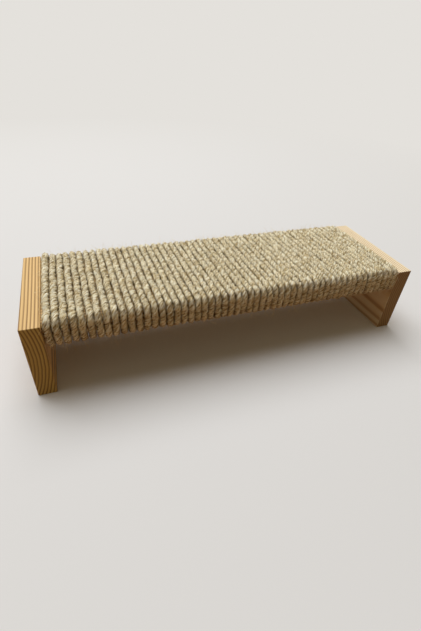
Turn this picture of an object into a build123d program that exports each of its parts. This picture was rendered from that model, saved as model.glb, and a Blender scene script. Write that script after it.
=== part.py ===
# Cat scratching board: a board wound with sisal rope, carried level between two wooden end boards.
# Millimetres. The origin is on the floor at the middle, +X runs along the board, +Z is up.
from build123d import *
import os
from math import ceil, floor

import numpy as np

# Driving dimensions of the end boards
overall_length = 457.2
end_board_thickness = 19.05
end_board_width = 139.7
end_board_height = 88.9
end_board_edge_round = 0.8

# Driving dimensions of the core board, hidden under the rope
core_thickness = 19.05
core_width = 127.0
core_drop = 2.4
core_edge_round = 3.5

# Driving dimensions of the rope
rope_diameter = 7.2
rope_gap = 0.45
rope_to_wood = 0.3
rope_to_end_board = 0.4
rope_slant = 4.3
slant_per_turn = 0.25
rope_crossing = 60.0
rope_ease = 100.0
rope_end_back = 8.0
rope_lengths = ["left", "middle", "right"]

# Driving dimensions of the screws, two through each end board
screw_length = 50.8
screw_spacing = 76.2
screw_shank_diameter = 4.2
screw_thread_diameter = 3.6
screw_head_diameter = 8.3
screw_head_angle = 90
screw_head_below_face = 0.25
screw_tip_length = 6.0
screw_shank_runout = 1.0
screw_recess_width = 0.9
screw_recess_span = 4.6
screw_recess_depth = 2.0
screw_clearance = 0.1

# Driving dimensions of the staples, two through each end of the rope
staple_wire = 1.2
staple_crown = 6.35
staple_bite = 6.5
staple_bend = 0.8
staple_first = 3.0
staple_spacing = 9.5
staple_clearance = 0.05

# Step between the points on which the winding's gaps are measured
gap_step = 1.0

# Places worked out from the driving dimensions
inner_half_length = overall_length / 2 - end_board_thickness
core_length = 2 * inner_half_length
core_top = end_board_height - core_drop
core_bottom = core_top - core_thickness
core_middle = (core_top + core_bottom) / 2
rope_offset = rope_to_wood + rope_diameter / 2
rope_bend = core_edge_round + rope_offset
rope_side = core_width / 2 + rope_offset
rope_above = core_top + rope_offset
rope_below = core_bottom - rope_offset
rope_end = rope_crossing / 2 + rope_end_back
screw_head_height = (screw_head_diameter - screw_shank_diameter) / 2
screw_seat_radius = screw_head_diameter / 2 + screw_head_below_face + screw_clearance
staple_places = [staple_first + number * staple_spacing for number in range(2)]

# The turns: as many as fit between the end boards with the least gap
first_turn = -inner_half_length + rope_to_end_board + rope_diameter / 2
last_turn = -first_turn
winding_room = last_turn - first_turn - rope_slant
whole_turns = floor(winding_room / (rope_diameter + rope_gap))
turn_pitch = winding_room / whole_turns
loops = whole_turns + 1


def end_board(side):
    """One end board, a plain rectangle on edge, with its screw holes. side is -1 left, +1 right."""
    outer = side * overall_length / 2
    with BuildPart() as board:
        with Locations((outer - side * end_board_thickness / 2, 0, 0)):
            Box(
                end_board_thickness,
                end_board_width,
                end_board_height,
                align=(Align.CENTER, Align.CENTER, Align.MIN),
            )
        fillet(board.edges(), end_board_edge_round)
        with Locations(Plane((outer, 0, core_middle), x_dir=(0, 1, 0), z_dir=(side, 0, 0))):
            with GridLocations(screw_spacing, 0, 2, 1):
                CounterSinkHole(
                    screw_shank_diameter / 2 + screw_clearance,
                    screw_seat_radius,
                    depth=end_board_thickness,
                    counter_sink_angle=screw_head_angle,
                )
    return board


def core_board():
    """The board under the rope, with pilot holes for the screws and the staples."""
    pilot_depth = screw_length + screw_head_below_face - end_board_thickness + screw_clearance
    with BuildPart() as board:
        with BuildSketch(Plane.YZ.offset(-core_length / 2)):
            with Locations((0, core_middle)):
                RectangleRounded(core_width, core_thickness, core_edge_round)
        extrude(amount=core_length)
        for side in (-1, 1):
            end_face = Plane((side * core_length / 2, 0, core_middle), x_dir=(0, 1, 0), z_dir=(side, 0, 0))
            with Locations(end_face):
                with GridLocations(screw_spacing, 0, 2, 1):
                    Hole(screw_thread_diameter / 2 + screw_clearance, depth=pilot_depth)
            for x, y in staple_legs(side):
                with Locations(Plane((x, y, core_bottom), z_dir=(0, 0, -1))):
                    Hole(staple_wire / 2 + staple_clearance, depth=staple_bite + staple_clearance)
    return board


def staple_legs(side):
    """The x and y of each staple leg at one end of the rope, in pairs."""
    legs = []
    for place in staple_places:
        legs.append((side * last_turn, -side * (rope_end + place)))
        legs.append((side * last_turn, -side * (rope_end + place + staple_crown)))
    return legs


def far_x(loop):
    """Where along the board a loop climbs the far edge."""
    return first_turn + loop * turn_pitch


def near_x(loop):
    """Where along the board a loop comes down the near edge. The slant over the top grows turn by turn."""
    return far_x(loop) + min(rope_slant, slant_per_turn * loop)


def winding_corners(first_loop, last_loop):
    """Corners and their radii, of a right-handed winding that steps along the board under its middle."""
    corners = []
    for loop in range(first_loop, last_loop):
        far = far_x(loop)
        near = near_x(loop)
        corners.append(((far, rope_crossing / 2, rope_below), rope_ease))
        corners.append(((far, rope_side, rope_below), rope_bend))
        corners.append(((far, rope_side, rope_above), rope_bend))
        corners.append(((near, -rope_side, rope_above), rope_bend))
        corners.append(((near, -rope_side, rope_below), rope_bend))
        corners.append(((near, -rope_crossing / 2, rope_below), rope_ease))
    if first_loop == 0:
        corners[0] = ((first_turn, rope_end, rope_below), None)
    else:
        corners.insert(0, ((underside_middle(first_loop), 0, rope_below), None))
    if last_loop == loops:
        corners[-1] = ((last_turn, -rope_end, rope_below), None)
    else:
        corners.append(((underside_middle(last_loop), 0, rope_below), None))
    return corners


def underside_middle(loop):
    """Where the step between a loop and the one before it passes under the middle of the board."""
    return (near_x(loop - 1) + far_x(loop)) / 2


def rope_length(first_loop, last_loop):
    """One unbroken tube of rope. The rope's two true ends have holes where staples pierce them."""
    corners = winding_corners(first_loop, last_loop)
    points = [point for point, radius in corners]
    radii = [radius for point, radius in corners[1:-1]]
    with BuildPart() as rope:
        with BuildLine():
            route = FilletPolyline(*points, radius=radii)
        with BuildSketch(Plane(route @ 0, z_dir=route % 0)) as section:
            Circle(rope_diameter / 2)
        sweep()
        share = rope.part.volume / (section.sketch.area * route.length)
        if first_loop == 0:
            staple_holes(-1)
        if last_loop == loops:
            staple_holes(1)
    print(f"loops {first_loop} to {last_loop}: length {route.length:.1f}")
    print(f"  volume over section times length {share:.5f}")
    return rope, route


def staple_holes(side):
    """Cut the holes of one pair of staples through the rope."""
    for x, y in staple_legs(side):
        with Locations((x, y, rope_below)):
            Cylinder(staple_wire / 2 + staple_clearance, 2 * rope_diameter, mode=Mode.SUBTRACT)


def path_points(route):
    """Points along a route, in order, about gap_step apart."""
    points = []
    for edge in route.order_edges():
        count = ceil(edge.length / gap_step)
        points.extend(tuple(edge @ (step / count)) for step in range(count))
    points.append(tuple(route @ 1))
    return np.array(points)


def least_gap(points):
    """Least gap between a tube and its own neighbouring turns, from points to the runs between points."""
    loop = round(2 * (2 * rope_side + rope_above - rope_below) / gap_step)
    starts = points[:-1]
    runs = points[1:] - starts
    least = np.inf
    for number in range(loop // 2, len(points)):
        turn = slice(max(0, number - 3 * loop // 2), number - loop // 2)
        away = points[number] - starts[turn]
        share = np.clip((away * runs[turn]).sum(axis=1) / (runs[turn] ** 2).sum(axis=1), 0, 1)
        distances = np.linalg.norm(away - share[:, None] * runs[turn], axis=1)
        least = min(least, distances.min(initial=np.inf))
    return least - rope_diameter


def screws(side):
    """Two countersunk cross-recess wood screws, heads just below the outer face of an end board."""
    head_face = Plane(
        (side * (overall_length / 2 - screw_head_below_face), 0, core_middle),
        x_dir=(0, 1, 0),
        z_dir=(side, 0, 0),
    )
    shank = screw_shank_diameter / 2
    thread = screw_thread_diameter / 2
    with BuildPart() as pair:
        with BuildSketch(Plane.XZ):
            with BuildLine():
                Polyline(
                    (0, 0),
                    (screw_head_diameter / 2, 0),
                    (shank, -screw_head_height),
                    (shank, screw_head_below_face + screw_shank_runout - end_board_thickness),
                    (thread, screw_head_below_face - end_board_thickness),
                    (thread, -screw_length + screw_tip_length),
                    (0, -screw_length),
                    close=True,
                )
            make_face()
        revolve(axis=Axis.Z)
        with BuildSketch():
            Rectangle(screw_recess_span, screw_recess_width)
            Rectangle(screw_recess_width, screw_recess_span)
        extrude(amount=-screw_recess_depth, mode=Mode.SUBTRACT)
    one = pair.part
    with BuildPart() as group:
        with Locations(head_face):
            with GridLocations(screw_spacing, 0, 2, 1):
                add(one)
    return group


def staples(side):
    """Two wire staples, each with its crown on the rope and its legs through the rope into the core."""
    crown_z = core_bottom - rope_to_wood - rope_diameter - staple_clearance - staple_bend
    tip_z = core_bottom + staple_bite
    legs = staple_legs(side)
    with BuildPart() as group:
        for first, second in zip(legs[::2], legs[1::2]):
            corners = [(*first, tip_z), (*first, crown_z), (*second, crown_z), (*second, tip_z)]
            with BuildLine():
                wire = FilletPolyline(*corners, radius=staple_bend)
            with BuildSketch(Plane(wire @ 0, z_dir=wire % 0)):
                Circle(staple_wire / 2)
            sweep()
    return group


def write(build, name):
    """Label one finished piece and write it as its own file."""
    build.part.label = name
    export_step(build.part, f"parts/{name}.step")


os.makedirs("parts", exist_ok=True)

write(end_board(-1), "left_end_board")
write(end_board(1), "right_end_board")
write(core_board(), "core_board")

winding = []
for number, place in enumerate(rope_lengths):
    first_loop = round(number * loops / len(rope_lengths))
    last_loop = round((number + 1) * loops / len(rope_lengths))
    rope, route = rope_length(first_loop, last_loop)
    points = path_points(route)
    print(f"  least gap to itself {least_gap(points):.3f}")
    winding.extend(points if number == 0 else points[1:])
    write(rope, f"rope_winding_{place}")
print(f"{loops} loops at {turn_pitch:.3f}, least gap of all the rope {least_gap(np.array(winding)):.3f}")

write(screws(-1), "left_screws")
write(screws(1), "right_screws")
write(staples(-1), "left_staples")
write(staples(1), "right_staples")
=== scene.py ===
# %% [markdown]
# A cat scratching board: two pine end boards stand on the floor and carry a board wound with sisal rope.
# The solids come from the frame, at the sizes that were worked out for the real board. This lesson dresses
# them: it lays twisted rope along the winding's route, grows wood that looks right on every face, and sets
# up a plain studio.

# %% Frame
import math

import bpy
from mathutils import Matrix, Vector


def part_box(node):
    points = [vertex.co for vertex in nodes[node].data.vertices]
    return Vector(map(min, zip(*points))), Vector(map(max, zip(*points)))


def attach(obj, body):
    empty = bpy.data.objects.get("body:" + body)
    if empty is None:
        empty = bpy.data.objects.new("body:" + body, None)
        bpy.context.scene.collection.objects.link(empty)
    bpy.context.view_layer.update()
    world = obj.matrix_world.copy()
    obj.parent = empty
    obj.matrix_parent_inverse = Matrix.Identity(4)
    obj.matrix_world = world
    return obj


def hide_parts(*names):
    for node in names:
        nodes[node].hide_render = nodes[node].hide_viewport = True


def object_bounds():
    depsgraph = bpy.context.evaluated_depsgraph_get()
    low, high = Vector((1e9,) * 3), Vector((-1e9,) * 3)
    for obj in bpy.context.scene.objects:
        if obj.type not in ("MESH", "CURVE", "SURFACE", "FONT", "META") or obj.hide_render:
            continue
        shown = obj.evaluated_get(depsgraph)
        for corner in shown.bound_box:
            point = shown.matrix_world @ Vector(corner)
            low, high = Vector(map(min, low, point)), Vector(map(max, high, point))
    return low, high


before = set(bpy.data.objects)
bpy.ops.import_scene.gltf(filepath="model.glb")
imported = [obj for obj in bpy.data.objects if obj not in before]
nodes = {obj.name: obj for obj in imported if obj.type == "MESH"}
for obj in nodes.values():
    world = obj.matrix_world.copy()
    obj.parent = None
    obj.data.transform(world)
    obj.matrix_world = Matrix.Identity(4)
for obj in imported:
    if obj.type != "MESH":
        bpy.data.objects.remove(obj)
cad_low, cad_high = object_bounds()
mm = 0.001
print("frame:", len(nodes), "nodes, size in mm", [round(side / mm, 1) for side in cad_high - cad_low])

# %% [markdown]
# The camera stands where the photograph was taken: a little left of the board's middle, above it and
# close, so the near left corner looks large. The place, the directions and the focal length were solved
# from the corners of the end boards. A focal length in pixels becomes millimetres through the sensor, whose
# 36 mm lie along the picture's long side.

# %% Camera
picture_width, picture_height = 421, 631
focal_pixels = 376.6
camera_place = Vector((-162.17, -372.09, 318.38)) * mm
camera_forward = Vector((0.29608, 0.73790, -0.60651)).normalized()
camera_up = Vector((0.15491, 0.58947, 0.79279))


def make_camera():
    """Make the scene's camera from a place, a direction and an up vector."""
    data = bpy.data.cameras.new("camera")
    data.sensor_width = 36
    data.lens = focal_pixels / max(picture_width, picture_height) * data.sensor_width
    data.clip_start, data.clip_end = 0.01, 50
    camera = bpy.data.objects.new("camera", data)
    bpy.context.scene.collection.objects.link(camera)
    right = camera_forward.cross(camera_up).normalized()
    up = right.cross(camera_forward)
    axes = Matrix((right, up, -camera_forward)).transposed().to_4x4()
    camera.matrix_world = Matrix.Translation(camera_place) @ axes
    bpy.context.scene.camera = camera
    return camera


camera = make_camera()
print("camera: lens", round(camera.data.lens, 2), "mm")

# %% [markdown]
# Materials are sums, and sums read best as Python. The class below wraps a socket, so that a + b or
# 1 - mask adds the Math node that does it. Every other node comes from one method, node, which takes the
# node's type, its settings and the values or links of its sockets. The same class builds Geometry Nodes.

# %% Node helper
class Link:
    """A socket that takes part in Python sums."""

    def __init__(self, tree, socket):
        self.tree, self.socket = tree, socket

    def math(self, operation, first, second=None):
        return self.tree.node("ShaderNodeMath", {"operation": operation}, {0: first, 1: second})

    def __add__(self, other):
        return self.math("ADD", self, other)

    def __sub__(self, other):
        return self.math("SUBTRACT", self, other)

    def __rsub__(self, other):
        return self.math("SUBTRACT", other, self)

    def __mul__(self, other):
        return self.math("MULTIPLY", self, other)

    def __truediv__(self, other):
        return self.math("DIVIDE", self, other)

    def __pow__(self, other):
        return self.math("POWER", self, other)

    __radd__, __rmul__ = __add__, __mul__

    def apply(self, operation, other=None):
        """A Math node of one or two values that has no Python operator, such as SINE or MINIMUM."""
        return self.math(operation, self, other)


class Tree:
    """A node tree with one method that adds any node."""

    def __init__(self, tree):
        self.tree = tree

    def node(self, kind, settings=None, inputs=None, output=0):
        """Add a node: settings first, then its inputs by name or number. Gives one output as a Link."""
        node = self.tree.nodes.new(kind)
        settings = dict(settings or {})
        stops = settings.pop("stops", None)
        for name, value in settings.items():
            setattr(node, name, value)
        if stops:
            ramp = node.color_ramp.elements
            while len(ramp) < len(stops):
                ramp.new(1)
            for element, (position, colour) in zip(ramp, stops):
                element.position, element.color = position, (*colour, 1)
        for name, value in (inputs or {}).items():
            if isinstance(value, Link):
                self.tree.links.new(value.socket, node.inputs[name])
            elif value is not None:
                node.inputs[name].default_value = value
        return Link(self, node.outputs[output]) if node.outputs else None

    def vector(self, operation, values, output=0):
        """A Vector Math node, with the values or links of its sockets by number or name."""
        return self.node("ShaderNodeVectorMath", {"operation": operation}, values, output)

    def outputs(self, link):
        """The other outputs of the node that a link comes from, by name."""
        return lambda name: Link(self, link.socket.node.outputs[name])

    def mix(self, factor, first, second, blend="MIX"):
        """A Mix node on two colours: sockets 6 and 7 take the colours, and output 2 gives the result."""
        settings = {"data_type": "RGBA", "blend_type": blend}
        return self.node("ShaderNodeMix", settings, {0: factor, 6: first, 7: second}, output=2)

    def feed(self, node, name, link):
        """Lead a link into a socket of a node that is already there."""
        self.tree.links.new(link.socket, node.inputs[name])

    def bump(self, shader, height, strength, distance):
        """Give a shader small relief, from a height between 0 and 1."""
        values = {"Height": height, "Strength": strength, "Distance": distance}
        self.feed(shader, "Normal", self.node("ShaderNodeBump", {}, values, output="Normal"))


def new_material(name):
    """A material whose shader is a Principled one, and the tree and the shader to build on."""
    material = bpy.data.materials.new(name)
    material.use_nodes = True
    tree = Tree(material.node_tree)
    shader = material.node_tree.nodes["Principled BSDF"]
    return material, tree, shader


def srgb(red, green, blue):
    """A colour as a picture editor shows it, from 0 to 255, as the linear values that a shader takes."""
    parts = [part / 255 for part in (red, green, blue)]
    return tuple(part / 12.92 if part <= 0.04045 else ((part + 0.055) / 1.055) ** 2.4 for part in parts)


print("helper: Math nodes from Python sums, any other node from Tree.node")

# %% [markdown]
# The studio is a pale floor under a pale sky, with one large soft lamp above and behind the object, so the
# tops are bright and the near faces lie in shade. Two tricks keep it simple. The floor and the sky look
# pale to the camera, but the light that they send to the object is warm. And far from the object the floor
# fades into the sky's own colour, so no horizon shows while the object keeps its shadow.

# %% Studio
studio_span = 60.0
floor_pale = srgb(228, 225, 220)
floor_lit = srgb(230, 232, 235)
floor_bounce = srgb(146, 100, 54)
sky_warm = srgb(232, 208, 168)
fade_start, fade_end = 0.30, 1.4
world_strength = 0.25
key_place, key_size, key_power = Vector((-0.5, 1.35, 3.4)), 3.2, 134


def camera_sees(tree):
    """One for rays from the camera, a gloss or a clear surface, and zero for light that bounces."""
    ray = tree.outputs(tree.node("ShaderNodeLightPath"))
    seen = ray("Is Camera Ray") + ray("Is Glossy Ray") + ray("Is Transmission Ray")
    return seen.apply("MINIMUM", 1)


def make_floor():
    """A large flat floor at the object's feet."""
    half = studio_span / 2
    corners = [(-half, -half, 0), (half, -half, 0), (half, half, 0), (-half, half, 0)]
    mesh = bpy.data.meshes.new("floor")
    mesh.from_pydata(corners, [], [(0, 1, 2, 3)])
    floor = bpy.data.objects.new("floor", mesh)
    bpy.context.scene.collection.objects.link(floor)
    material, tree, shader = new_material("pale_floor")
    seen = camera_sees(tree)
    tree.feed(shader, "Base Color", tree.mix(seen, (*floor_bounce, 1), (*floor_lit, 1)))
    shader.inputs["Roughness"].default_value = 1.0
    shader.inputs["Specular IOR Level"].default_value = 0.0
    place = tree.node("ShaderNodeTexCoord", output="Object")
    distance = tree.vector("LENGTH", {0: place}, output="Value")
    fade = ((distance - fade_start) / (fade_end - fade_start)).apply("MAXIMUM", 0).apply("MINIMUM", 1)
    even = tree.node("ShaderNodeEmission", {}, {"Color": (*floor_pale, 1)})
    lit = Link(tree, shader.outputs["BSDF"])
    blend = tree.node("ShaderNodeMixShader", {}, {0: seen * fade, 1: lit, 2: even})
    tree.feed(material.node_tree.nodes["Material Output"], "Surface", blend)
    mesh.materials.append(material)


def make_lamp(name, place, size, power):
    """A square area lamp that faces the middle of the object."""
    data = bpy.data.lights.new(name, "AREA")
    data.size, data.energy = size, power
    lamp = bpy.data.objects.new(name, data)
    bpy.context.scene.collection.objects.link(lamp)
    target = (cad_low + cad_high) / 2
    lamp.location = place
    lamp.rotation_euler = (target - place).to_track_quat("-Z", "Y").to_euler()


def make_world():
    """An even sky, pale to the camera, and weaker and warmer as light."""
    world = bpy.data.worlds.new("studio")
    bpy.context.scene.world = world
    world.use_nodes = True
    tree = Tree(world.node_tree)
    background = world.node_tree.nodes["Background"]
    seen = camera_sees(tree)
    tree.feed(background, "Color", tree.mix(seen, (*sky_warm, 1), (*floor_pale, 1)))
    tree.feed(background, "Strength", world_strength + (1 - world_strength) * seen)


make_floor()
make_world()
make_lamp("key", key_place, key_size, key_power)
bpy.context.scene.view_settings.view_transform = "Standard"
print("studio: key lamp", key_size, "m wide, floor fades from", fade_start, "to", fade_end, "m")

# %% [markdown]
# Pine shows its year rings on every face: as curved bands on the sawn ends, as lines along the long edges
# and as wide streaks on the broad faces. A picture can't do that on all of them at once, but a solid
# texture can. Here the rings are cylinders round a tree's heart that runs along the board, so each face
# cuts them the way a saw does. The heart of each end board lies well outside its outer face, a little
# above its middle, which bends the rings on its ends into the shallow arcs that the real board has. The left
# board is honey pine and the right one paler, partly its own tone and partly a painted highlight for the
# glare on its top. Sawn ends drink light, so they are tinted darker; on the right board the tint is far
# deeper, and that is painted shade.

# %% Wood
ring_spacing = 3.3 * mm
heart_outside = 116 * mm
heart_height = 0.60
ring_wander = 1.5 * mm
core_heart_aside, core_heart_under = 12 * mm, 38 * mm
honey_pine = [srgb(236, 200, 137), srgb(214, 176, 111), srgb(134, 95, 43), (0.74, 0.80, 0.62)]
# The right board is paler, partly its own tone and partly a painted highlight for the glare on its top; its
# end tint, far darker than the left board's, is mostly painted shade.
cream_pine_glare_and_shade = [srgb(253, 240, 212), srgb(243, 224, 188), srgb(190, 156, 104), (0.32, 0.22, 0.09)]


def make_pine(name, grain, heart, tones):
    """Pine whose rings circle a line along one axis, 0 for X or 1 for Y, through the point heart.

    The tones are the wood of spring, of early and of late summer, and a sawn end's darker tint, partly
    painted shade.
    """
    material, tree, shader = new_material(name)
    place = tree.node("ShaderNodeTexCoord", output="Object")

    def noise(along, across, detail, offset=0.0):
        """Noise that is drawn out along the grain, with its frequencies in waves a metre."""
        scale = [across, across, across]
        scale[grain] = along
        drawn = tree.vector("MULTIPLY_ADD", {0: place, 1: scale, 2: [offset] * 3})
        return tree.node("ShaderNodeTexNoise", {}, {"Vector": drawn, "Scale": 1.0, "Detail": detail})

    parts = tree.outputs(tree.node("ShaderNodeSeparateXYZ", {}, {0: place}))
    across = parts("XY"[1 - grain]) - heart[1 - grain]
    upward = parts("Z") - heart[2]
    bend = (noise(5, 14, 1.0) - 0.5) * (ring_wander * 2) + (noise(9, 60, 1.0, 7.0) - 0.5) * ring_wander
    rings = ((across * across + upward * upward) ** 0.5 + bend) / ring_spacing
    year = tree.node("ShaderNodeTexWhiteNoise", {"noise_dimensions": "1D"}, {"W": rings.apply("FLOOR")})
    ring = rings.apply("FRACT")
    early, middle, late, end_grain_and_shade = tones
    stops = [(0.0, middle), (0.12, early), (0.36, early), (0.54, middle)]
    stops += [(0.72, late), (0.90, late), (1.0, middle)]
    colour = tree.node("ShaderNodeValToRGB", {"stops": stops}, {"Fac": ring}, output="Color")
    colour = tree.mix(year * 0.25, colour, (*middle, 1))
    streak = noise(18, 750, 2.0)
    colour = tree.mix((streak - 0.42) * 0.7, colour, (*[tone * 0.80 for tone in middle], 1))
    patch = noise(6, 22, 2.0, 3.0)
    colour = tree.mix((patch - 0.40) * 0.4, colour, (*early, 1))
    facing = tree.outputs(tree.node("ShaderNodeNewGeometry"))("True Normal")
    toward = tree.outputs(tree.node("ShaderNodeSeparateXYZ", {}, {0: facing}))
    # Sawn ends are tinted darker: the end grain's own tone, and on the right board painted shade as well.
    ends = toward("XY"[grain]).apply("ABSOLUTE") ** 3
    darkened_end = tree.mix(1.0, colour, (*end_grain_and_shade, 1), "MULTIPLY")
    tree.feed(shader, "Base Color", tree.mix(ends, colour, darkened_end))
    tree.feed(shader, "Roughness", 0.50 + streak * 0.16 + ends * 0.15)
    tree.bump(shader, streak * 0.6 + ring * 0.4, 0.35, 0.25 * mm)
    return material


def put_on(node, material):
    """Give a CAD node one material."""
    mesh = nodes[node].data
    mesh.materials.clear()
    mesh.materials.append(material)


for node, side, tones in (("left_end_board", -1, honey_pine), ("right_end_board", 1, cream_pine_glare_and_shade)):
    low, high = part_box(node)
    outer = low.x if side < 0 else high.x
    heart = Vector((outer + side * heart_outside, 0, low.z + heart_height * (high.z - low.z)))
    put_on(node, make_pine(node + "_pine", 1, heart, tones))
core_low, core_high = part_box("core_board")
heart = Vector((0, core_heart_aside, core_low.z - core_heart_under))
put_on("core_board", make_pine("core_pine", 0, heart, honey_pine))
print("wood: rings", round(ring_spacing / mm, 2), "mm apart")

# %% [markdown]
# Steel needs little: it is bright, a bit rough, and its zinc coat clouds in soft patches. The screws are
# bright zinc, and the staples are duller, with thin scratches along their wire.

# %% Steel
cloud_scale = 420.0
scratch_scale = 2400.0


def make_zinc(name, bright, dull, roughness):
    """Zinc-coated steel, clouded in patches and finely scratched."""
    material, tree, shader = new_material(name)
    place = tree.node("ShaderNodeTexCoord", output="Object")
    cloud = tree.node("ShaderNodeTexNoise", {}, {"Vector": place, "Scale": cloud_scale, "Detail": 3.0})
    scratch = tree.node("ShaderNodeTexNoise", {}, {"Vector": place, "Scale": scratch_scale, "Detail": 1.0})
    tree.feed(shader, "Base Color", tree.mix(cloud, (*dull, 1), (*bright, 1)))
    tree.feed(shader, "Roughness", roughness + (cloud - 0.5) * 0.25)
    tree.bump(shader, scratch, 0.2, 0.03 * mm)
    shader.inputs["Metallic"].default_value = 1.0
    return material


screw_zinc = make_zinc("screw_zinc", srgb(214, 212, 204), srgb(150, 148, 142), 0.30)
staple_zinc = make_zinc("staple_zinc", srgb(190, 188, 182), srgb(124, 122, 118), 0.42)
for end in ("left", "right"):
    put_on(end + "_screws", screw_zinc)
    put_on(end + "_staples", staple_zinc)
print("steel: screws and staples")

# %% [markdown]
# The rope is the piece that the eye goes to. On the real board it is one length of natural sisal, laid from
# three strands, and each turn touches the next. Its route is a winding whose corners follow from the core
# board's box: up the far edge, across the top with a slight slant, down the near edge and back underneath,
# where it steps along to the next turn. The slant grows over the first turns. A narrow crevice is left
# beside each end board, and the first turn rides up a little at the far corner, as on the real board. The
# route is a smooth curve with a few control points for each corner, so one loop over the turns writes it.
# The numbers below are those of the solids, apart from the corners' reach, the crevices and the lift, which
# were fitted.

# %% Winding route
rope_to_wood = 0.3 * mm
loops = 54
rope_slant = 4.3 * mm
slant_per_turn = 0.25 * mm
underside_crossing = 30 * mm
rope_end = 38 * mm
corner_reach = 14 * mm
left_crevice, right_crevice = 1.5 * mm, 0.6 * mm
first_turn_lift = 2.6 * mm
windings = ["rope_winding_left", "rope_winding_middle", "rope_winding_right"]

cad_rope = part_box("rope_winding_left")[1].z - core_high.z - rope_to_wood
first_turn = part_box("rope_winding_left")[0].x + cad_rope / 2 + left_crevice
last_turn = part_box("rope_winding_right")[1].x - cad_rope / 2 - right_crevice
turn_pitch = (last_turn - first_turn - rope_slant) / (loops - 1)
side = core_high.y + rope_to_wood + cad_rope / 2
above = core_high.z + rope_to_wood + cad_rope / 2
below = core_low.z - rope_to_wood - cad_rope / 2
middle = (above + below) / 2


def far_x(loop):
    """Where along the board a loop climbs the far edge."""
    return first_turn + loop * turn_pitch


def near_x(loop):
    """Where along the board a loop comes down the near edge."""
    return far_x(loop) + min(rope_slant, slant_per_turn * loop)


def loop_points(loop):
    """The control points of one loop, from the underside up the far edge, over the top and down again."""
    far, near = far_x(loop), near_x(loop)
    drift = (near - far) * corner_reach / (2 * side)
    lift = first_turn_lift if loop == 0 else 0
    return [
        (far, underside_crossing, below),
        (far, side - corner_reach, below),
        (far, side, below),
        (far, side, middle),
        (far, side, above + lift),
        (far + drift, side - corner_reach, above + lift / 2),
        (near - drift, corner_reach - side, above),
        (near, -side, above),
        (near, -side, middle),
        (near, -side, below),
        (near, corner_reach - side, below),
        (near, -underside_crossing, below),
    ]


def winding_points(first, last):
    """The control points of one stored length of rope, from the middle of the underside to the next."""
    points = [point for loop in range(first, last) for point in loop_points(loop)]
    if first == 0:
        points[0] = (first_turn, rope_end, below)
    else:
        points.insert(0, ((near_x(first - 1) + far_x(first)) / 2, 0, below))
    if last == loops:
        points[-1] = (last_turn, -rope_end, below)
    else:
        points.append(((near_x(last - 1) + far_x(last)) / 2, 0, below))
    return points


def make_route(name, points):
    """A smooth curve with the given control points."""
    curve = bpy.data.curves.new(name, "CURVE")
    curve.dimensions = "3D"
    spline = curve.splines.new("NURBS")
    spline.points.add(len(points) - 1)
    for place, point in zip(points, spline.points):
        point.co = (*place, 1)
    spline.order_u = 3
    spline.use_endpoint_u = True
    spline.resolution_u = 12
    route = bpy.data.objects.new(name, curve)
    bpy.context.scene.collection.objects.link(route)
    return route


routes = []
for number, node in enumerate(windings):
    first, last = number * loops // len(windings), (number + 1) * loops // len(windings)
    routes.append(make_route(node + "_route", winding_points(first, last)))
print("routes:", loops, "loops,", round(turn_pitch / mm, 3), "mm apart")

# %% [markdown]
# Three strands twisted together are one profile, three circles round a middle, swept along the route while
# it turns. Geometry Nodes does this: the curve's tilt grows by a full turn for each length of lay, and a
# slow noise makes the lay, the thickness and the place uneven, as on rope wound by hand. Named attributes go
# along for later. The attribute fibre says how far a point lies down the rope and where on its strand, so
# that the material can lay fibres by it. The attribute proud says how far it stands out of the grooves, and
# run is the direction of the rope. Fibres lean across a strand by so many radians a metre.

# %% Rope tree
rope_lay = 28.6 * mm
strand_diameter = 5.15 * mm
strand_offset = 1.25 * mm
strand_sides = 12
ring_step = 2.1 * mm
fibre_lean = 300.0
slow_scale, slow_twist = 45, 3.0
thinnest, thickness_span = 0.88, 0.24
rope_unevenness, rope_lumps = 2.2 * mm, 2.4 * mm
lump_scale = 420.0
strand_apart = 40
rope_seed = 3.7


def new_geometry_tree(name, inputs):
    """A Geometry Nodes tree with named inputs, its helper and a way to read each input."""
    group = bpy.data.node_groups.new(name, "GeometryNodeTree")
    for label, kind in inputs:
        group.interface.new_socket(name=label, in_out="INPUT", socket_type="NodeSocket" + kind)
    group.interface.new_socket(name="Geometry", in_out="OUTPUT", socket_type="NodeSocketGeometry")
    tree = Tree(group)
    return group, tree, tree.outputs(tree.node("NodeGroupInput"))


def store(tree, geometry, name, value, domain="POINT", data_type="FLOAT"):
    """Write a named attribute on a geometry."""
    settings = {"domain": domain, "data_type": data_type}
    values = {"Geometry": geometry, "Name": name, "Value": value}
    return tree.node("GeometryNodeStoreNamedAttribute", settings, values)


def stored(tree, name, data_type="FLOAT"):
    """Read a named attribute."""
    return tree.node("GeometryNodeInputNamedAttribute", {"data_type": data_type}, {"Name": name})


def shape_of(tree, label):
    """The mesh or curve of the object that an input names."""
    settings = {"transform_space": "RELATIVE"}
    return tree.node("GeometryNodeObjectInfo", settings, {"Object": label}, output="Geometry")


def end_tree(tree, geometry, material):
    """Realize what is instanced, give it its material and hand it out."""
    real = tree.node("GeometryNodeRealizeInstances", {}, {"Geometry": geometry})
    painted = tree.node("GeometryNodeSetMaterial", {}, {"Geometry": real, "Material": material})
    tree.node("NodeGroupOutput", {}, {"Geometry": painted})


def proud_of_route(tree, given):
    """How far a point stands out from the box that the rope's middle line winds round, in metres."""
    place = tree.node("GeometryNodeInputPosition")
    parts = tree.outputs(tree.node("ShaderNodeSeparateXYZ", {}, {0: place}))
    up = (parts("Z") - given("Above")).apply("MAXIMUM", given("Below") - parts("Z"))
    return up.apply("MAXIMUM", parts("Y").apply("ABSOLUTE") - given("Outside Y"))


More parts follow.
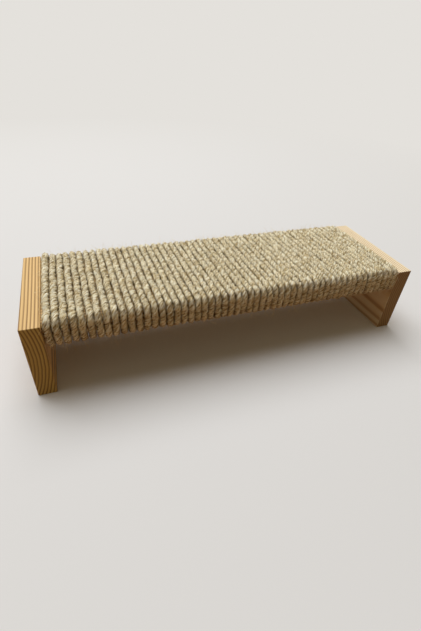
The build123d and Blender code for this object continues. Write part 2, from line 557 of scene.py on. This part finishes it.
def twisted_rings(tree, given):
    """The route as even steps, moved, thickened and tilted for the lay. Gives it and the length along it."""
    rings = tree.node("GeometryNodeResampleCurve", {"mode": "LENGTH"},
                      {"Curve": shape_of(tree, given("Route")), "Length": given("Step")})
    length = tree.node("GeometryNodeSplineParameter", output="Length") + given("Length Before")
    rings = store(tree, rings, "along", length)
    rings = store(tree, rings, "run", tree.node("GeometryNodeInputTangent"), data_type="FLOAT_VECTOR")
    along = stored(tree, "along")
    down = tree.node("ShaderNodeCombineXYZ", {}, {"X": along * slow_scale, "Y": given("Seed")})
    slow = tree.node("ShaderNodeTexNoise", {"noise_dimensions": "2D"},
                     {"Vector": down, "Scale": 1.0, "Detail": 1.0})
    shift = tree.vector("SUBTRACT", {0: tree.outputs(slow)("Color"), 1: (0.5, 0.5, 0.5)})
    shift = tree.vector("SCALE", {0: shift, "Scale": given("Unevenness")})
    rings = tree.node("GeometryNodeSetPosition", {}, {"Geometry": rings, "Offset": shift})
    rings = tree.node("GeometryNodeSetCurveNormal", {"mode": "FREE"}, {"Curve": rings, "Normal": (1, 0, 0)})
    twist = along * (2 * math.pi) / given("Lay") + slow * slow_twist
    rings = tree.node("GeometryNodeSetCurveTilt", {}, {"Curve": rings, "Tilt": twist})
    thickness = slow * thickness_span + thinnest
    return tree.node("GeometryNodeSetCurveRadius", {}, {"Curve": rings, "Radius": thickness}), along


def strand_profile(tree, given):
    """Three circles round a middle, each with its own number and the angle of its points."""
    centres = tree.node("GeometryNodeCurvePrimitiveCircle", {},
                        {"Resolution": 3, "Radius": given("Strand Offset")})
    strand = tree.node("GeometryNodeCurvePrimitiveCircle", {},
                       {"Resolution": given("Sides"), "Radius": given("Strand Diameter") / 2})
    turn = tree.node("GeometryNodeSplineParameter", output="Factor") * (2 * math.pi)
    strand = store(tree, strand, "angle", turn)
    strands = tree.node("GeometryNodeInstanceOnPoints", {}, {"Points": centres, "Instance": strand})
    strands = store(tree, strands, "strand", tree.node("GeometryNodeInputIndex"), domain="INSTANCE")
    return tree.node("GeometryNodeRealizeInstances", {}, {"Geometry": strands})


def make_rope_tree():
    """Strands twisted along a route."""
    group, tree, given = new_geometry_tree("laid_rope", [
        ("Route", "Object"), ("Length Before", "Float"), ("Lay", "Float"), ("Strand Diameter", "Float"),
        ("Strand Offset", "Float"), ("Sides", "Int"), ("Step", "Float"), ("Unevenness", "Float"),
        ("Lumps", "Float"), ("Outside Y", "Float"), ("Above", "Float"), ("Below", "Float"), ("Seed", "Float"),
        ("Material", "Material"),
    ])
    rings, along = twisted_rings(tree, given)
    rope = tree.node("GeometryNodeCurveToMesh", {},
                     {"Curve": rings, "Profile Curve": strand_profile(tree, given), "Fill Caps": True})
    lean = stored(tree, "angle") - along * fibre_lean
    fibre = tree.node("ShaderNodeCombineXYZ", {}, {
        "X": along + stored(tree, "strand") * strand_apart + given("Seed"),
        "Y": lean.apply("COSINE") * given("Strand Diameter") / 2,
        "Z": lean.apply("SINE") * given("Strand Diameter") / 2,
    })
    rope = store(tree, rope, "fibre", fibre, data_type="FLOAT_VECTOR")
    lumps = tree.node("ShaderNodeTexNoise", {}, {"Vector": fibre, "Scale": lump_scale, "Detail": 1.0})
    height = (lumps - 0.5) * given("Lumps")
    push = tree.vector("SCALE", {0: tree.node("GeometryNodeInputNormal"), "Scale": height})
    rope = tree.node("GeometryNodeSetPosition", {}, {"Geometry": rope, "Offset": push})
    rope = store(tree, rope, "proud", proud_of_route(tree, given) / given("Strand Diameter"))
    rope = tree.node("GeometryNodeSetShadeSmooth", {}, {"Geometry": rope})
    end_tree(tree, rope, given("Material"))
    return group


def grow(name, group, values):
    """Run a tree on a bare object and keep the result as a plain mesh of the root body, in sisal."""
    host = bpy.data.objects.new(name, bpy.data.meshes.new(name))
    bpy.context.scene.collection.objects.link(host)
    modifier = host.modifiers.new("grow", "NODES")
    modifier.node_group = group
    for item in group.interface.items_tree:
        if item.in_out == "INPUT":
            modifier[item.identifier] = values[item.name]
    view_layer = bpy.context.evaluated_depsgraph_get()
    mesh = bpy.data.meshes.new_from_object(host.evaluated_get(view_layer))
    host.modifiers.remove(modifier)
    host.data = mesh
    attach(host, "root")
    print(name + ":", sum(len(face.vertices) - 2 for face in mesh.polygons), "triangles")
    return host


rope_tree = make_rope_tree()
print("rope tree:", len(rope_tree.nodes), "nodes, a lay of", round(rope_lay / mm, 1), "mm")

# %% [markdown]
# Sisal is a pale straw yellow, with fibres that lie nearly along the rope, some of them bleached and some
# brown; the near-white bleached tone is partly a painted highlight, for the glints off the fibres. The
# noises below are drawn out along each strand by the attribute that the tree stored, so they run with the
# lay round every corner: one fine, for single fibres, and one coarser, for the flecks of light and dark that
# show from a step away. The grooves between turns are painted darker: painted shade, for the little light
# that reaches them.

# %% Sisal
# The groove colour is painted shade, for the grooves that little light reaches.
sisal_groove_shade = srgb(122, 96, 56)
sisal_brown = srgb(152, 129, 80)
sisal_straw = srgb(216, 197, 148)
sisal_pale = srgb(249, 233, 190)
# The bleached tone is near white: partly the fibres' own bleaching and partly a painted highlight for their
# glints.
sisal_bleached_and_glint = srgb(255, 252, 230)
groove_edge, groove_slope, groove_most = 0.48, 1.5, 0.7
fibre_relief = 1.4 * mm


def make_sisal():
    """Sisal: fine fibres and flecks along each strand, over slow changes of colour down the rope."""
    material, tree, shader = new_material("natural_sisal")
    fibre = tree.node("ShaderNodeAttribute", {"attribute_name": "fibre"}, output="Vector")
    proud = tree.node("ShaderNodeAttribute", {"attribute_name": "proud"}, output="Fac")

    def noise(along, across, detail):
        """Noise drawn out along the strand, with its frequencies in waves a metre."""
        drawn = tree.vector("MULTIPLY", {0: fibre, 1: (along, across, across)})
        return tree.node("ShaderNodeTexNoise", {}, {"Vector": drawn, "Scale": 1.0, "Detail": detail})

    fine = noise(160, 2600, 3.0)
    fleck = noise(260, 620, 2.0)
    patch = noise(35, 150, 2.0)
    stops = [(0.43, sisal_brown), (0.47, sisal_straw), (0.50, sisal_pale), (0.54, sisal_bleached_and_glint)]
    mixture = fine * 0.25 + fleck * 0.65 + patch * 0.10
    colour = tree.node("ShaderNodeValToRGB", {"stops": stops}, {"Fac": mixture}, output="Color")
    # Painted shade: the colour darkens towards a dark brown where the rope lies deep in its grooves.
    groove_shade_mask = ((groove_edge - proud) * groove_slope).apply("MAXIMUM", 0).apply("MINIMUM", groove_most)
    tree.feed(shader, "Base Color", tree.mix(groove_shade_mask, colour, (*sisal_groove_shade, 1)))
    tree.feed(shader, "Roughness", 0.42 + fine * 0.3)
    tree.bump(shader, fine * 0.6 + fleck * 0.6, 1.0, fibre_relief)
    return material


sisal = make_sisal()
length_before = 0.0
ropes = []
for node, route in zip(windings, routes):
    rope = grow("sisal_rope_" + node.split("_")[-1], rope_tree, {
        "Route": route, "Length Before": length_before, "Lay": rope_lay, "Strand Diameter": strand_diameter,
        "Strand Offset": strand_offset, "Sides": strand_sides, "Step": ring_step,
        "Unevenness": rope_unevenness, "Lumps": rope_lumps, "Outside Y": side, "Above": above, "Below": below,
        "Seed": rope_seed, "Material": sisal,
    })
    length_before += route.data.splines[0].calc_length()
    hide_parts(node)
    ropes.append(rope)
for route in routes:
    bpy.data.objects.remove(route)

# %% [markdown]
# Natural rope is hairy: fibres work loose all over it and stand off in short curls, with a long whisker
# here and there. Each is a thin curved spike, set on the outer side of the turns by points scattered with a
# fixed seed, lying near the direction of the rope, either way along it, and tilted up from it. Short ones
# are common and long ones rare, and the long ones are thinner for their length.

# %% Loose fibres
fibre_density = 50000.0
fibre_shortest, fibre_longest = 2.2 * mm, 14 * mm
fibre_thickness = 0.014
fibre_seed = 11
fibre_swing = 0.75
fibre_tilt = (-0.45, 0.1)
fibre_rarity = 3.5
proud_enough = 1 * mm


def random_value(tree, low, high, seed):
    """A random number for each point, in which sockets 2 and 3 take the least and the most."""
    values = {2: low, 3: high, "Seed": seed}
    return tree.node("FunctionNodeRandomValue", {"data_type": "FLOAT"}, values, output=1)


def make_fibre_tree():
    """Loose fibres on the outer side of a rope's turns."""
    group, tree, given = new_geometry_tree("loose_fibres", [
        ("Rope", "Object"), ("Outside Y", "Float"), ("Above", "Float"), ("Below", "Float"),
        ("Density", "Float"), ("Shortest", "Float"), ("Longest", "Float"), ("Thickness", "Float"),
        ("Seed", "Int"), ("Material", "Material"),
    ])
    outside = proud_of_route(tree, given).apply("GREATER_THAN", proud_enough)
    points = tree.node("GeometryNodeDistributePointsOnFaces", {"distribute_method": "RANDOM"}, {
        "Mesh": shape_of(tree, given("Rope")), "Selection": outside, "Density": given("Density"),
        "Seed": given("Seed"),
    })
    turned = tree.node("FunctionNodeAlignRotationToVector", {"axis": "X", "pivot_axis": "Z"}, {
        "Rotation": tree.outputs(points)("Rotation"), "Vector": stored(tree, "run", "FLOAT_VECTOR"),
    })
    swing = random_value(tree, -fibre_swing, fibre_swing, 1)
    about = swing + random_value(tree, 0, 1, 2).apply("ROUND") * math.pi
    lean = tree.node("ShaderNodeCombineXYZ", {}, {"Y": random_value(tree, *fibre_tilt, 3), "Z": about})
    lean = tree.node("FunctionNodeEulerToRotation", {}, {"Euler": lean})
    turned = tree.node("FunctionNodeRotateRotation", {"rotation_space": "LOCAL"},
                       {"Rotation": turned, "Rotate By": lean})
    curl = tree.node("GeometryNodeCurveQuadraticBezier", {}, {
        "Resolution": 4, "Start": (0, 0, 0), "Middle": (0.5, 0.06, 0.30), "End": (1, -0.14, 0.22),
    })
    down = tree.node("GeometryNodeSplineParameter", output="Factor")
    curl = tree.node("GeometryNodeSetCurveRadius", {}, {"Curve": curl, "Radius": 1 - down * 0.7})
    ring = tree.node("GeometryNodeCurvePrimitiveCircle", {}, {"Resolution": 3, "Radius": given("Thickness")})
    spike = tree.node("GeometryNodeCurveToMesh", {},
                      {"Curve": curl, "Profile Curve": ring, "Fill Caps": True})
    reach = random_value(tree, 0, 1, 4) ** fibre_rarity
    size = given("Shortest") + (given("Longest") - given("Shortest")) * reach
    thin = (given("Shortest") * 1.6 / size) ** 0.8
    scale = tree.node("ShaderNodeCombineXYZ", {},
                      {"X": size, "Y": size * thin, "Z": size * (0.5 + thin * 0.5)})
    fibres = tree.node("GeometryNodeInstanceOnPoints", {},
                       {"Points": points, "Instance": spike, "Rotation": turned, "Scale": scale})
    fibres = store(tree, fibres, "tone", random_value(tree, 0, 1, 5), domain="INSTANCE")
    end_tree(tree, fibres, given("Material"))
    return group


def make_loose_sisal():
    """The same sisal, with one tone for each loose fibre and a little grain."""
    material, tree, shader = new_material("loose_sisal")
    tone = tree.node("ShaderNodeAttribute", {"attribute_name": "tone"}, output="Fac")
    place = tree.node("ShaderNodeTexCoord", output="Object")
    grain = tree.node("ShaderNodeTexNoise", {}, {"Vector": place, "Scale": 900.0, "Detail": 1.0})
    # The palest tone is partly a painted highlight, as on the rope.
    stops = [(0.0, sisal_straw), (0.5, sisal_pale), (1.0, sisal_bleached_and_glint)]
    mixture = tone * 0.7 + grain * 0.3
    colour = tree.node("ShaderNodeValToRGB", {"stops": stops}, {"Fac": mixture}, output="Color")
    tree.feed(shader, "Base Color", colour)
    tree.feed(shader, "Roughness", 0.45 + grain * 0.3)
    return material


fibre_tree = make_fibre_tree()
loose_sisal = make_loose_sisal()
for number, rope in enumerate(ropes):
    grow(rope.name.replace("sisal_rope", "loose_fibres"), fibre_tree, {
        "Rope": rope, "Outside Y": side, "Above": above, "Below": below,
        "Density": fibre_density, "Shortest": fibre_shortest, "Longest": fibre_longest,
        "Thickness": fibre_thickness, "Seed": fibre_seed + number, "Material": loose_sisal,
    })
